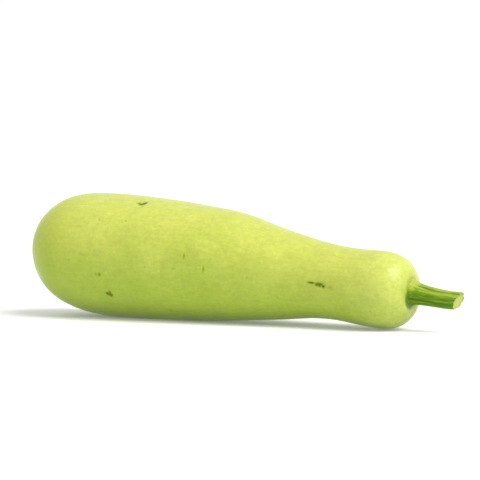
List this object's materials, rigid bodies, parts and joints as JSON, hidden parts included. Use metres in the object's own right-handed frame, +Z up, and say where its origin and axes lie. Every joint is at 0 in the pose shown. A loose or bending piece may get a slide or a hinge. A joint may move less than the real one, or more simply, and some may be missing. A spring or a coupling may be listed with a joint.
{
  "type": "bottle gourd",
  "caption": "Picked bottle gourd lying on its side, smooth pale green body tapering to a neck, with a short ribbed cut stem.",
  "frame": {"origin": "middle of the whole object's footprint, on the surface that the gourd rests on", "axes": "+Z up; +X along the gourd, from the wide blossom end to the stem"},
  "size_m": [0.3016, 0.0814, 0.08],
  "materials": {
    "gourd_skin": "satin",
    "stem_rind": "satin"
  },
  "bodies": {
    "root": {"fruit": "gourd_skin", "stem": "stem_rind"}
  },
  "joints": []
}
